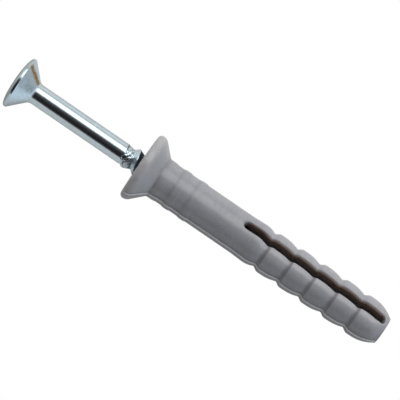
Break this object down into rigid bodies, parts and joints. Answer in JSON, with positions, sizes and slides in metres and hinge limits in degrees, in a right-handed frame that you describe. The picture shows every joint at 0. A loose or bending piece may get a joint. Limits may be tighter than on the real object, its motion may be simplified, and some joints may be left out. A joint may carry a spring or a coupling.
{
  "type": "nylon hammer fixing",
  "caption": "Countersunk nylon wall plug with a slotted, barbed expanding end and a zinc-plated nail screw set into it, ready to be driven in.",
  "frame": {"origin": "centre of the sleeve flange's top face, which lies flush with the fixed part when the fixing is in the wall", "axes": "+X along the fixing, from the nail screw's head to the sleeve's tip; +Z along the through slot; the axis lies level"},
  "size_m": [0.0604, 0.01, 0.01],
  "materials": {
    "nylon": "moulded grey nylon, satin",
    "zinc_plated_steel": "bright zinc plating with a slight blue cast and one rust-coloured streak under the head"
  },
  "bodies": {
    "sleeve": {"sleeve": "nylon"},
    "nail_screw": {"nail_screw": "zinc_plated_steel"}
  },
  "joints": [
    {"name": "nail_drive", "type": "slide", "parent": "sleeve", "child": "nail_screw", "axis": [1, 0, 0], "range_m": [0, 0.0197], "deforming": ["sleeve"]}
  ]
}
